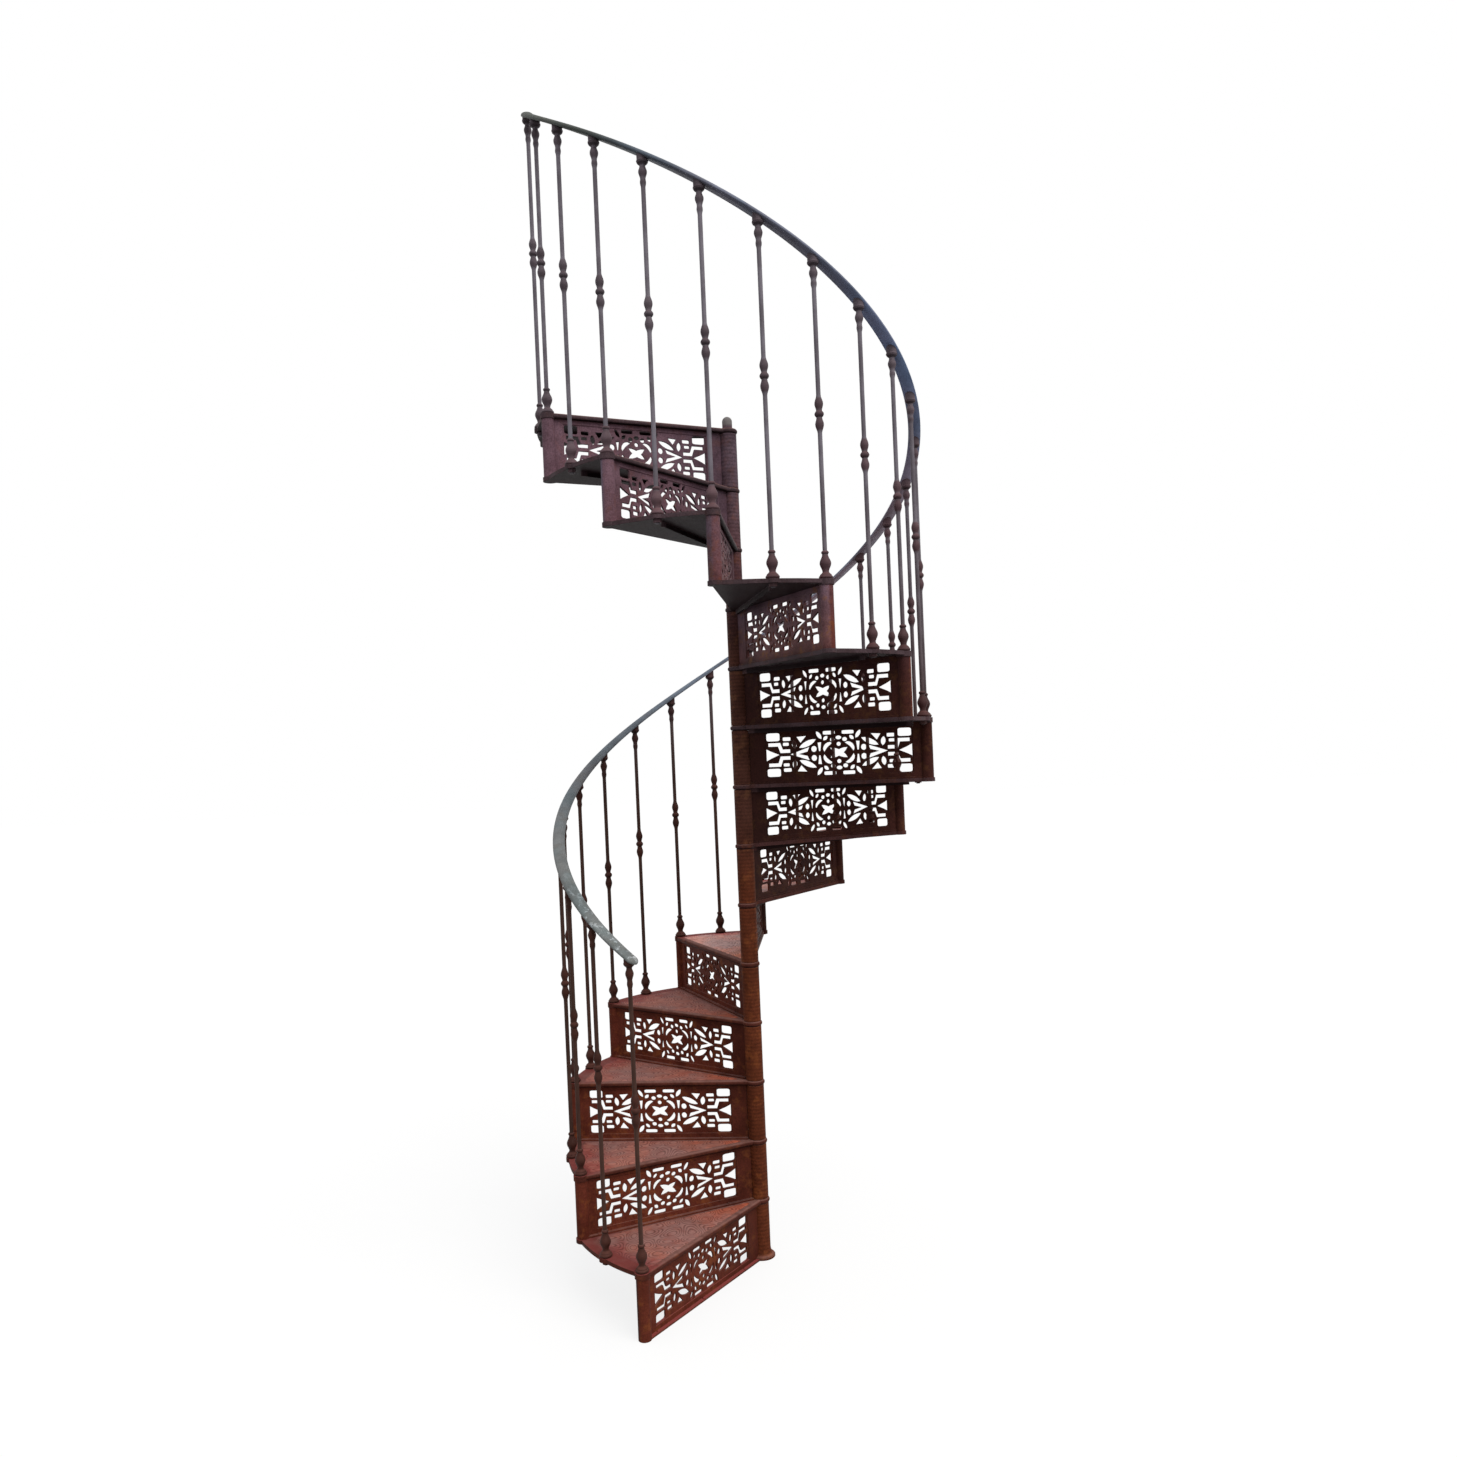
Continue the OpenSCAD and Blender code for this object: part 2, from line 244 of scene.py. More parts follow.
print("colour and grain:", len(aged.nodes), "nodes so far")

# %% [markdown]
# Rust breaks through in ragged patches, fewer of them high up, where the iron dries sooner. Small dark
# stains lie between them. Both are noise cut off at a level, so that only its peaks show.

# %% Aged paint: rust and stains
STAINED = (0.35, 0.33, 0.33, 1)
RUST_HIGH_UP = 0.3
rust = spread(aged, noise(aged, spot, scale=24.0, detail=6.0, rough=0.7), 0.50, 0.66)
rust = sums(aged, "MULTIPLY", rust, chosen["Rust"])
rust = sums(aged, "MULTIPLY", rust, spread(aged, climb, 0.0, 1.0, 1.0, RUST_HIGH_UP))
paint = mix(aged, rust, paint, chosen["Rust Colour"])
stain = spread(aged, noise(aged, spot, scale=60.0, detail=5.0, rough=0.7), 0.56, 0.70, 0.0, 0.6)
paint = mix(aged, sums(aged, "MULTIPLY", stain, chosen["Grain"]), paint, STAINED, "MULTIPLY")
print("rust and stains:", len(aged.nodes), "nodes so far")

# %% [markdown]
# Paint wears off first along an edge. The edges of the solids are sharp, but the Bevel node gives the
# normal that a rounded edge would have, and wherever it leaves the true normal there is an edge. The
# dot product of the two is 1 on a flat face and less near an edge. Noise breaks the worn line up.

# %% Aged paint: worn edges
EDGE_RADIUS = 0.0022
WEAR_HIGH_UP = 0.35
normal = normal_of(aged)
rounded = put(aged, "ShaderNodeBevel", {"Radius": EDGE_RADIUS}, samples=4).outputs["Normal"]
flat = put(aged, "ShaderNodeVectorMath", {0: rounded, 1: normal}, operation="DOT_PRODUCT").outputs["Value"]
edge = sums(aged, "MULTIPLY", spread(aged, flat, 0.99, 0.80), chosen["Worn"])
edge = sums(aged, "MULTIPLY", edge, spread(aged, noise(aged, spot, scale=40.0), 0.35, 0.6))
edge = sums(aged, "MULTIPLY", edge, spread(aged, climb, 0.0, 1.0, 1.0, WEAR_HIGH_UP))
paint = mix(aged, edge, paint, chosen["Worn Colour"])
print("worn edges:", len(aged.nodes), "nodes so far")

# %% [markdown]
# Dust lies where a face looks up, thinner in some places than in others. The undersides are darkened as a
# painted shade, by as much as the Shade input asks.

# %% Aged paint: dust and undersides
UNDERSIDE_SHADE = (0.12, 0.11, 0.12, 1)
upness = height_of(aged, normal)
thin = spread(aged, noise(aged, spot, scale=33.0, detail=5.0), 0.25, 0.6, 0.45, 1.0)
lying = sums(aged, "MULTIPLY", spread(aged, upness, 0.35, 0.95), thin)
dust = sums(aged, "MULTIPLY", lying, chosen["Dust"])
paint = mix(aged, dust, paint, chosen["Dust Colour"])
# Painted shade: faces that look down are darkened towards near black.
underside_shade = sums(aged, "MULTIPLY", spread(aged, upness, -0.25, -0.85), chosen["Shade"])
paint = mix(aged, underside_shade, paint, UNDERSIDE_SHADE, "MULTIPLY")
print("dust and undersides:", len(aged.nodes), "nodes so far")

# %% [markdown]
# The sand of the mould leaves small lumps in the iron, so the grain and the blotches also drive a bump
# on top of the rounded normal. Grain makes the surface rough and dust makes it rougher still.

# %% Aged paint: bumps and roughness
BUMP_DEPTH = 0.0008
lumps = sums(aged, "ADD", sums(aged, "MULTIPLY", grain, 0.6), sums(aged, "MULTIPLY", blotch, 0.4))
strength = sums(aged, "MULTIPLY", chosen["Grain"], 0.35)
bumpy = put(aged, "ShaderNodeBump",
            {"Strength": strength, "Distance": BUMP_DEPTH, "Height": lumps, "Normal": rounded})
dull = sums(aged, "ADD", spread(aged, grain, 0.3, 0.7, 0.50, 0.68), sums(aged, "MULTIPLY", dust, 0.25))
aged.links.new(paint, aged_out.inputs["Colour"])
aged.links.new(dull, aged_out.inputs["Roughness"])
aged.links.new(bumpy.outputs["Normal"], aged_out.inputs["Normal"])
print("aged_paint has", len(aged.nodes), "nodes")

# %% [markdown]
# ## One finish
# A finish is a material with the group in it and its own choice for every input. The colour is handed
# back unlinked, because each finish still changes it in its own way. Dull old paint has little gloss,
# so the specular level is low: with white all round, a glossy dark paint would look grey.

# %% A finish from the group
def finish(name, gloss=0.05, **choices):
    """A material of aged paint, where low_paint is the choice for the input Low Paint, and so on; returns
    it, its tree, its shader and the aged colour."""
    material, tree, shader = painted(name)
    inputs = {label.replace("_", " ").title(): choice for label, choice in choices.items()}
    coat = use_group(tree, aged, inputs)
    tree.links.new(coat["Roughness"], shader.inputs["Roughness"])
    tree.links.new(coat["Normal"], shader.inputs["Normal"])
    shader.inputs["Specular IOR Level"].default_value = gloss
    return material, tree, shader, coat["Colour"]


DUST = (0.34, 0.175, 0.150, 1)
RUST = (0.21, 0.060, 0.020, 1)
print("finish maker ready, dust", DUST[:3], "rust", RUST[:3])

# %% [markdown]
# ## Treads
# On a tread the dust lies in the middle, the rim stays crimson and the hub by the newel is orange with
# rust. The distance from the axis of the newel tells them apart, and noise makes the borders wander.

# %% Node group: walked path
RIM_FROM, RIM_TO = 0.47, 0.60
HUB_FROM, HUB_TO = 0.30, 0.08
WANDER = 0.05
walked, given, out = new_group("walked_path", outputs=(("Rim", VALUE), ("Hub", VALUE)))
spot = spot_on(walked)
wander = spread(walked, noise(walked, spot, scale=11.0), 0.3, 0.7, -WANDER, WANDER)
reach = sums(walked, "ADD", reach_of(walked, spot), wander)
walked.links.new(spread(walked, reach, RIM_FROM, RIM_TO, 0.0, 0.75), out.inputs["Rim"])
walked.links.new(spread(walked, reach, HUB_FROM, HUB_TO, 0.0, 0.7), out.inputs["Hub"])
print("group", walked.name)

# %% [markdown]
# A rib hangs under each plate, and its sides get the same painted shade as the underside though they look
# sideways. Plates come once a rise, so the fraction of a rise tells what hangs below a plate, and the
# distance from the axis leaves out the hub and the rim.

# %% Node group: what hangs below a plate
UPPER_HALF, BELOW_PLATE = (0.5, 0.6), (0.938, 0.926)
OFF_HUB, OFF_RIM = (0.042, 0.055), (0.550, 0.535)
plated, given, out = new_group("under_plate", outputs=(("Under", VALUE),))
spot = spot_on(plated)
part_rise = sums(plated, "FRACT", sums(plated, "DIVIDE", height_of(plated, spot), RISE))
below = spread(plated, part_rise, *BELOW_PLATE)
hanging = sums(plated, "MULTIPLY", spread(plated, part_rise, *UPPER_HALF), below)
reach = reach_of(plated, spot)
inside = spread(plated, reach, *OFF_RIM)
between = sums(plated, "MULTIPLY", spread(plated, reach, *OFF_HUB), inside)
plated.links.new(sums(plated, "MULTIPLY", hanging, between), out.inputs["Under"])
print("group", plated.name)

# %% [markdown]
# The tread itself shows at its nosing, rim and underside, since a patterned sheet will cover the
# middle. Only faces that look up get the crimson rim, so the edge of the plate keeps the darker coat.

# %% Tread paint
CRIMSON = (0.21, 0.036, 0.034, 1)
RIB_SHADE = (0.28, 0.25, 0.25, 1)
tread_paint, tree, shader, colour = finish(
    "tread_paint", low_paint=(0.085, 0.023, 0.016, 1), high_paint=(0.080, 0.052, 0.060, 1),
    dust_colour=DUST, rust_colour=RUST, worn_colour=(0.20, 0.085, 0.07, 1),
    dust=0.55, rust=0.35, worn=0.4, shade=0.75, grain=1.0, climb_from=0.9, climb_to=1.9)
top = spread(tree, use_group(tree, upward)["Up"], 0.5, 0.95)
rim = sums(tree, "MULTIPLY", top, use_group(tree, walked)["Rim"])
colour = mix(tree, rim, colour, CRIMSON)
# Painted shade: the rib under each plate is darkened like the underside.
colour = mix(tree, use_group(tree, plated)["Under"], colour, RIB_SHADE, "MULTIPLY")
tree.links.new(colour, shader.inputs["Base Color"])
print(tread_paint.name, "has", len(tree.nodes), "nodes")

# %% [markdown]
# ## Risers
# The fronts of the risers were painted red-brown, while the backs, which look at the ground from under the
# next tread, are darkened nearly to black as a painted shade. A riser stands along a radius, so its front
# looks along the circle. The cross product of up and the place of a point gives that direction, and its dot
# product with the normal is positive on a front and negative on a back. The flange that stands on the
# ground was painted a brighter red: it is what looks up within a few millimetres of the floor.

# %% Node groups: back of a riser and its foot on the ground
turned, given, out = new_group("riser_side", outputs=(("Back", VALUE),))
level = level_of(turned, spot_on(turned))
along = put(turned, "ShaderNodeVectorMath", {0: (0, 0, 1), 1: level}, operation="CROSS_PRODUCT").outputs[0]
along = put(turned, "ShaderNodeVectorMath", {0: along}, operation="NORMALIZE").outputs[0]
facing = put(turned, "ShaderNodeVectorMath", {0: along, 1: normal_of(turned)}, operation="DOT_PRODUCT")
turned.links.new(spread(turned, facing.outputs["Value"], 0.1, -0.4), out.inputs["Back"])

FLANGE_BELOW = (0.030, 0.018)
grounded, given, out = new_group("ground_flange", outputs=(("Flange", VALUE),))
low_down = spread(grounded, height_of(grounded, spot_on(grounded)), *FLANGE_BELOW)
facing_up = spread(grounded, height_of(grounded, normal_of(grounded)), 0.4, 0.8, 0.0, 0.8)
grounded.links.new(sums(grounded, "MULTIPLY", facing_up, low_down), out.inputs["Flange"])
print("groups", turned.name, grounded.name)

# %% [markdown]
# On the back of the eleventh riser the tint is a pale mauve instead of a painted shade, and the backs above
# it are a little paler than those below, so the tint of a back is picked by height. Near the newel all the
# panels are darker, a painted shade.

# %% Riser paint
BACK_SHADE, PALE_BACK_TINT, UPPER_BACK_SHADE = (0.38, 0.60, 0.86, 1), (1.45, 2.30, 2.75, 1), (0.75, 1.05, 1.15, 1)
PALE_BACK_FROM, UPPER_BACKS_FROM = (1.88, 1.93), (2.08, 2.10)
HUB_SHADE = (0.50, 0.55, 0.60, 1)
GROUND_RED = (0.29, 0.056, 0.054, 1)
riser_paint, tree, shader, colour = finish(
    "riser_paint", low_paint=(0.130, 0.029, 0.017, 1), high_paint=(0.198, 0.114, 0.146, 1),
    dust_colour=DUST, rust_colour=RUST, worn_colour=(0.26, 0.115, 0.08, 1),
    dust=0.45, rust=0.7, worn=0.55, shade=0.85, grain=1.0, climb_from=1.75, climb_to=2.5)
# Painted shade: the backs of the risers are multiplied by a dark tint, which is a pale mauve on the
# eleventh.
tint = mix(tree, above(tree, *PALE_BACK_FROM), BACK_SHADE, PALE_BACK_TINT)
tint = mix(tree, above(tree, *UPPER_BACKS_FROM), tint, UPPER_BACK_SHADE)
back = sums(tree, "MULTIPLY", use_group(tree, turned)["Back"], 0.85)
colour = mix(tree, back, colour, tint, "MULTIPLY")
# Painted shade: the panels near the newel are darkened.
colour = mix(tree, use_group(tree, walked)["Hub"], colour, HUB_SHADE, "MULTIPLY")
colour = mix(tree, use_group(tree, grounded)["Flange"], colour, GROUND_RED)
tree.links.new(colour, shader.inputs["Base Color"])
print(riser_paint.name, "has", len(tree.nodes), "nodes")

# %% [markdown]
# ## Newel
# The newel was painted going round and round, which left level bands: a sine of the height, disturbed
# by noise, tints it darker and lighter.

# %% Node group: brush bands
BAND = 0.0118
banded, given, out = new_group("brush_bands", outputs=(("Tint", COLOUR),))
spot = spot_on(banded)
wander = sums(banded, "MULTIPLY", noise(banded, spot, scale=14.0, detail=3.0), 3.0)
turns = sums(banded, "MULTIPLY", height_of(banded, spot), 2 * math.pi / BAND)
wave = sums(banded, "SINE", sums(banded, "ADD", turns, wander))
banded.links.new(grey(banded, spread(banded, wave, -1.0, 1.0, 0.84, 1.09)), out.inputs["Tint"])
print("group", banded.name)

# %% [markdown]
# The newel is orange with rust at its foot and mauve at its top. The middle of it, in the shade of the
# treads, is sooty and also has that shade painted in as a greyer, darker tint, and the stub of the rod on
# top is bare grey iron. Masks of height pick them out.

# %% Newel paint
SOOT_AND_SHADE = (0.78, 1.12, 1.80, 1)
SOOT_AND_SHADE_FROM, SOOT_AND_SHADE_TO = (1.15, 1.45), (1.95, 2.35)
BARE_IRON = (0.19, 0.175, 0.175, 1)
STUB_FROM = (2.665, 2.680)
newel_paint, tree, shader, colour = finish(
    "newel_paint", low_paint=(0.125, 0.032, 0.014, 1), high_paint=(0.130, 0.088, 0.114, 1),
    dust_colour=DUST, rust_colour=(0.27, 0.080, 0.024, 1), worn_colour=(0.26, 0.11, 0.06, 1),
    dust=0.4, rust=0.45, worn=0.3, shade=0.8, grain=1.0, climb_from=1.9, climb_to=2.6)
colour = mix(tree, 1.0, colour, use_group(tree, banded)["Tint"], "MULTIPLY")
# Soot and painted shade: the middle of the newel is tinted greyer and darker.
cleaner = sums(tree, "SUBTRACT", 1.0, above(tree, *SOOT_AND_SHADE_TO))
sooty_and_shaded = sums(tree, "MULTIPLY", above(tree, *SOOT_AND_SHADE_FROM), cleaner)
colour = mix(tree, sooty_and_shaded, colour, SOOT_AND_SHADE, "MULTIPLY")
colour = mix(tree, above(tree, *STUB_FROM), colour, BARE_IRON)
tree.links.new(colour, shader.inputs["Base Color"])
print(newel_paint.name, "has", len(tree.nodes), "nodes")

# %% [markdown]
# ## Balusters
# The thin shafts keep the plain coat, which high up is a purple-grey that stands for a painted haze of
# backlight, while the knops and vases are tinted darker. To tell them apart, the finish measures thickness.
# A baluster stands at every half step of the circle, so rounding the bearing of a point to half steps gives
# the nearest axis, and the distance from it is the radius of the turning there.

# %% Node group: turned parts
THIN_UNDER, THICK_OVER = 0.0066, 0.0092
turnings, given, out = new_group("turned_parts", outputs=(("Thick", VALUE),))
spot = spot_on(turnings)
axes = put(turnings, "ShaderNodeSeparateXYZ", {0: spot}).outputs
bearing = sums(turnings, "ARCTAN2", axes["Y"], axes["X"])
places = sums(turnings, "DIVIDE", sums(turnings, "SUBTRACT", bearing, FIRST_RISER), STEP_TURN / 2)
astray = sums(turnings, "SUBTRACT", places, sums(turnings, "ROUND", places))
sideways = sums(turnings, "MULTIPLY", astray, CIRCLE * STEP_TURN / 2)
outward = sums(turnings, "SUBTRACT", reach_of(turnings, spot), CIRCLE)
squares = [sums(turnings, "MULTIPLY", part, part) for part in (sideways, outward)]
radius = sums(turnings, "SQRT", sums(turnings, "ADD", *squares))
turnings.links.new(spread(turnings, radius, THIN_UNDER, THICK_OVER), out.inputs["Thick"])
print("group", turnings.name)

# %% [markdown]
# The thick parts are brown low down, darker brown in the middle and dark grey at the top. A turned bar
# is smooth, so it has little grain and a little more gloss than the other castings.

# %% Baluster paint
LOW_BROWN, DARK_BROWN, DARK_GREY = (0.92, 0.62, 0.58, 1), (0.64, 0.38, 0.37, 1), (0.58, 0.50, 0.50, 1)
DARK_FROM, GREY_FROM = (1.4, 1.9), (2.3, 2.8)
# Painted haze: the purple-grey high paint stands for backlight on the upper balusters.
baluster_paint, tree, shader, colour = finish(
    "baluster_paint", gloss=0.12,
    low_paint=(0.066, 0.032, 0.024, 1), high_paint=(0.205, 0.186, 0.220, 1),
    dust_colour=DUST, rust_colour=(0.11, 0.045, 0.032, 1), worn_colour=(0.20, 0.13, 0.12, 1),
    dust=0.25, rust=0.15, worn=0.0, shade=0.7, grain=0.12, climb_from=1.4, climb_to=2.5)
brown = mix(tree, above(tree, *DARK_FROM), LOW_BROWN, DARK_BROWN)
brown = mix(tree, above(tree, *GREY_FROM), brown, DARK_GREY)
thick = sums(tree, "MULTIPLY", use_group(tree, turnings)["Thick"], 0.9)
tree.links.new(mix(tree, thick, colour, brown, "MULTIPLY"), shader.inputs["Base Color"])
print(baluster_paint.name, "has", len(tree.nodes), "nodes")

# %% [markdown]
# ## Handrail paint
# The low end of the rail is where every hand begins, so its paint flakes there, which a mask of height
# times noise gives.

# %% Node group: flaked end
FLAKED_BELOW = (1.34, 1.10)
flaked, given, out = new_group("flaked_end", outputs=(("Bare", VALUE),))
spot = spot_on(flaked)
patch = spread(flaked, noise(flaked, spot, scale=52.0, detail=5.0, rough=0.65), 0.53, 0.62)
low_end = spread(flaked, height_of(flaked, spot), *FLAKED_BELOW, 0.0, 0.7)
flaked.links.new(sums(flaked, "MULTIPLY", patch, low_end), out.inputs["Bare"])
print("group", flaked.name)

# %% [markdown]
# The rest of the rail is patchy grey, and its high paint is a bluish grey that stands for a painted sheen
# of the sky. Along the middle stretch its sides and underside are lightened as painted skylight, further up
# they get a painted blue sheen, and towards the top end the rail is darker. Each of these is a tint that
# multiplies the paint: noise spreads the patches, and masks of height and facing place the others.

# %% Rail paint
FLAKE = (0.52, 0.55, 0.58, 1)
COOL_PATCH, WARM_PATCH = (0.90, 1.00, 1.01, 1), (1.10, 1.06, 1.04, 1)
SKYLIGHT_TINT, BLUE_SHEEN = (3.1, 2.3, 2.05, 1), (1.5, 1.75, 2.15, 1)
SKYLIT_FROM, BLUE_SHEEN_FROM, BLUE_SHEEN_TO = (1.85, 2.00), (2.40, 2.65), (2.78, 3.02)
TOP_DARKENING = (0.20, 0.21, 0.13, 1)
DARK_TOP_FROM = (3.10, 3.40)
# Painted sheen: the bluish high paint stands for the sky seen on the rail.
rail_paint, tree, shader, colour = finish(
    "rail_paint", gloss=0.22,
    low_paint=(0.190, 0.203, 0.206, 1), high_paint=(0.168, 0.188, 0.262, 1),
    dust_colour=(0.26, 0.28, 0.29, 1), rust_colour=(0.12, 0.10, 0.07, 1), worn_colour=(0.62, 0.66, 0.66, 1),
    dust=0.12, rust=0.3, worn=0.8, shade=0.1, grain=0.4, climb_from=1.2, climb_to=2.2)
colour = mix(tree, use_group(tree, flaked)["Bare"], colour, FLAKE)
patches = use_group(tree, clouded, {"First": COOL_PATCH, "Second": WARM_PATCH,
                                    "Scale": 5.0, "Detail": 3.0, "Roughness": 0.6})
colour = mix(tree, 1.0, colour, patches["Tint"], "MULTIPLY")
# Painted skylight low on the middle stretch and painted blue sheen higher up, on all but the top of the
# rail.
stretch = sums(tree, "SUBTRACT", above(tree, *SKYLIT_FROM), above(tree, *BLUE_SHEEN_TO))
not_top = sums(tree, "MULTIPLY", spread(tree, use_group(tree, upward)["Up"], 0.3, -0.6), stretch)
painted_side_light = mix(tree, above(tree, *BLUE_SHEEN_FROM), SKYLIGHT_TINT, BLUE_SHEEN)
colour = mix(tree, not_top, colour, painted_side_light, "MULTIPLY")
# The top end of the rail is multiplied darker.
colour = mix(tree, above(tree, *DARK_TOP_FROM), colour, TOP_DARKENING, "MULTIPLY")
tree.links.new(colour, shader.inputs["Base Color"])
print(rail_paint.name, "has", len(tree.nodes), "nodes")

# %% [markdown]
# ## Paint on the solids
# The record names a material slot for every solid, so one loop paints them all.

# %% Paint the solids
slot_paint = {"tread": tread_paint, "riser": riser_paint, "newel": newel_paint,
              "baluster": baluster_paint, "handrail": rail_paint}
node_slot = {part["node"]: part["material_slot"] for part in frame["record"]["subparts"]}
for name, solid in nodes.items():
    solid.data.materials.clear()
    solid.data.materials.append(slot_paint[node_slot[name]])
print("painted", len(nodes), "solids with", len(slot_paint), "finishes")

# %% [markdown]
# ## New pieces from grids
# A surface is a function of two parameters, so a whole piece is one numpy array of points with rows
# along one parameter and columns along the other. `lay_grid` joins neighbours into four-sided faces
# and closes a seam or an end where it is asked to. Small like shapes can share one object: then the
# array has one more axis, with one grid to each copy.

# %% Grid to mesh
def lay_grid(name, points, material, closed=False, capped=False):
    """A mesh object from points[row, column, xyz], or points[copy, row, column, xyz] for several like
    shapes: faces join each row to the next, a closed grid joins the last column to the first, and a
    capped one has its first and last rows filled."""
    points = points if points.ndim == 4 else points[None]
    number = np.arange(points[..., 0].size).reshape(points.shape[:3])
    here = number if closed else number[:, :, :-1]
    after = np.roll(number, -1, axis=2) if closed else number[:, :, 1:]
    corners = [here[:, :-1], after[:, :-1], after[:, 1:], here[:, 1:]]
    faces = np.stack(corners, axis=-1).reshape(-1, 4).tolist()
    if capped:
        faces += number[:, 0, ::-1].tolist() + number[:, -1].tolist()
    mesh = bpy.data.meshes.new(name)
    mesh.from_pydata(points.reshape(-1, 3).tolist(), [], faces)
    mesh.shade_smooth()
    mesh.materials.append(material)
    piece = bpy.data.objects.new(name, mesh)
    scene.collection.objects.link(piece)
    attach(piece, "root")
    return piece


def swing(x, y, k):
    """Points drawn along the first radius, turned about the newel to the bearing of riser k."""
    turn = FIRST_RISER - STEP_TURN * (k - 1)
    return x * math.cos(turn) - y * math.sin(turn), x * math.sin(turn) + y * math.cos(turn)


print("grid maker ready")

# %% [markdown]
# ## Handrail
# The rail is one half-oval bar bent round the helix. The solid has eight straight stretches to each
# step, which is enough to measure, but the light that runs along a rail shows every corner. Here the
# same section rides the same helix in many short stretches, and both ends are drawn in by a quarter
# circle as a smith would round them.

# %% Handrail
RAIL_HEIGHT = 0.877
RAIL_WIDTH, RAIL_THICK, RAIL_EDGE = 0.038, 0.013, 0.003
RAIL_LEAD, RAIL_TAIL = 0.030, 0.0235
TIP_THICK = 0.25
SLOPE = math.atan(RISE / (CIRCLE * STEP_TURN))


def rail_surface(rows_per_step=32, sides=24, tip_rows=12):
    """Points of the rail: row = place along the helix, column = place round the half-oval section. The
    section is drawn in at both ends by the sine of a quarter turn over half a rail width, and thinned
    towards a share of its thickness."""
    per_step = CIRCLE * STEP_TURN / math.cos(SLOPE)
    start, end = 1 - RAIL_LEAD / per_step, STEPS + 0.5 + RAIL_TAIL / per_step
    tip = RAIL_WIDTH / 2 / per_step
    ease = np.linspace(0.04, 1, tip_rows) * math.pi / 2
    body = np.arange(start + tip, end - tip, 1 / rows_per_step)[1:]
    place = np.concatenate([start + tip * (1 - np.cos(ease)), body, end - tip * (1 - np.cos(ease[::-1]))])
    size = np.concatenate([np.sin(ease), np.ones(len(body)), np.sin(ease[::-1])])
    turn = np.linspace(math.pi, 0, sides)
    across = np.concatenate([[-1], np.cos(turn), [1]]) * RAIL_WIDTH / 2
    over = np.concatenate([[0], RAIL_EDGE + (RAIL_THICK - RAIL_EDGE) * np.sin(turn), [0]])
    angle = FIRST_RISER - STEP_TURN * (place - 1)
    radius = CIRCLE + across[None, :] * size[:, None]
    lift = over[None, :] * (TIP_THICK + (1 - TIP_THICK) * size[:, None])
    back = lift * math.sin(SLOPE)
    cos, sin = np.cos(angle)[:, None], np.sin(angle)[:, None]
    level = (RISE * place + RAIL_HEIGHT)[:, None] + lift * math.cos(SLOPE)
    return np.stack([radius * cos - back * sin, radius * sin + back * cos, level], axis=-1)


rail = lay_grid("smooth_handrail", rail_surface()[:, ::-1], rail_paint, closed=True, capped=True)
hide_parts("handrail")
print("handrail at", round(math.degrees(SLOPE), 1), "degrees,", len(rail.data.polygons), "faces")

# %% [markdown]
# ## Flange bolts
# Each riser stands with a flange on the tread below it, or on the ground, and bolts go through that
# flange. A round bolt head is a flattened half ball: the cosine of a quarter turn gives its radius
# and the sine its height. Three heads to a riser are one object, placed along its radius.

# %% Flange bolts
BOLTS_AT = np.array([0.115, 0.330, 0.546])
BOLT_FRONT, FLANGE_TOP = 0.0104, 0.005
BOLT_RADIUS, BOLT_HEIGHT, BOLT_SUNK = 0.0044, 0.0036, 0.0004


def bolt_heads(k, rows=8, sides=20):
    """Points of the heads on riser k: copy = place along the radius, row = part of a quarter turn from
    rim to crown, column = turn round the bolt. The rim starts a little inside the flange."""
    quarter = np.linspace(0, 0.94, rows)[:, None] * math.pi / 2
    around = np.linspace(0, 2 * math.pi, sides, endpoint=False)[None, :]
    x = BOLTS_AT[:, None, None] + BOLT_RADIUS * np.cos(quarter) * np.cos(around)
    y = np.broadcast_to(BOLT_FRONT + BOLT_RADIUS * np.cos(quarter) * np.sin(around), x.shape)
    z = (k - 1) * RISE + FLANGE_TOP - BOLT_SUNK + BOLT_HEIGHT * np.sin(quarter)
    return np.stack([*swing(x, y, k), np.broadcast_to(z, x.shape)], axis=-1)


for k in range(1, STEPS + 1):
    bolts = lay_grid(f"flange_bolts_{k:02d}", bolt_heads(k), riser_paint, closed=True, capped=True)
print(STEPS, "rows of", len(BOLTS_AT), "bolt heads,", len(bolts.data.polygons), "faces a row")

# %% [markdown]
# ## Cast pattern on the treads
# Foundries cast a low pattern of swirls into the walking faces to give grip. Each tread gets a thin
# sheet that lies just on its plate. The pattern is made as contour lines are: slow waves make a
# landscape of hills and hollows, and a ridge runs wherever its height passes a whole number of
# steps, so the ridges swirl round every hill. The rim of the sheet dips under the plate, so no edge
# shows.

# %% Tread sheets: shape
SHEET_FROM, SHEET_TO = 0.058, 0.563
FRONT_LINE, BACK_LINE = 0.005, 0.020
SHEET_LIFT, RIM_DIP, RIM_WIDTH = 0.0002, 0.0006, 0.006
CELL, RINGS, RIDGE_HEIGHT = 0.088, 1.6, 0.0012
WARP = 0.014
WARP_X, WARP_Y = (0.031, 1.3, 0.058), (0.027, 1.7, 0.049)


def warp(across, along, wave, bend, bend_wave):
    """A slow wave across one direction, which is itself bent along the other."""
    return WARP * np.sin(across / wave + bend * np.sin(along / bend_wave))


def scrolls(x, y):
    """Height from 0 to 1 of the pattern: x and y are bent by slow sines, the cosines of both over one
    cell are added to hills and hollows, and the cosine of that sum draws rings round each of them."""
    bent_x = x + warp(y, x, *WARP_X)
    bent_y = y + warp(x, y, *WARP_Y)
    hills = np.cos(2 * math.pi * bent_x / CELL) + np.cos(2 * math.pi * bent_y / CELL)
    return 0.5 + 0.5 * np.cos(2 * math.pi * RINGS * hills)


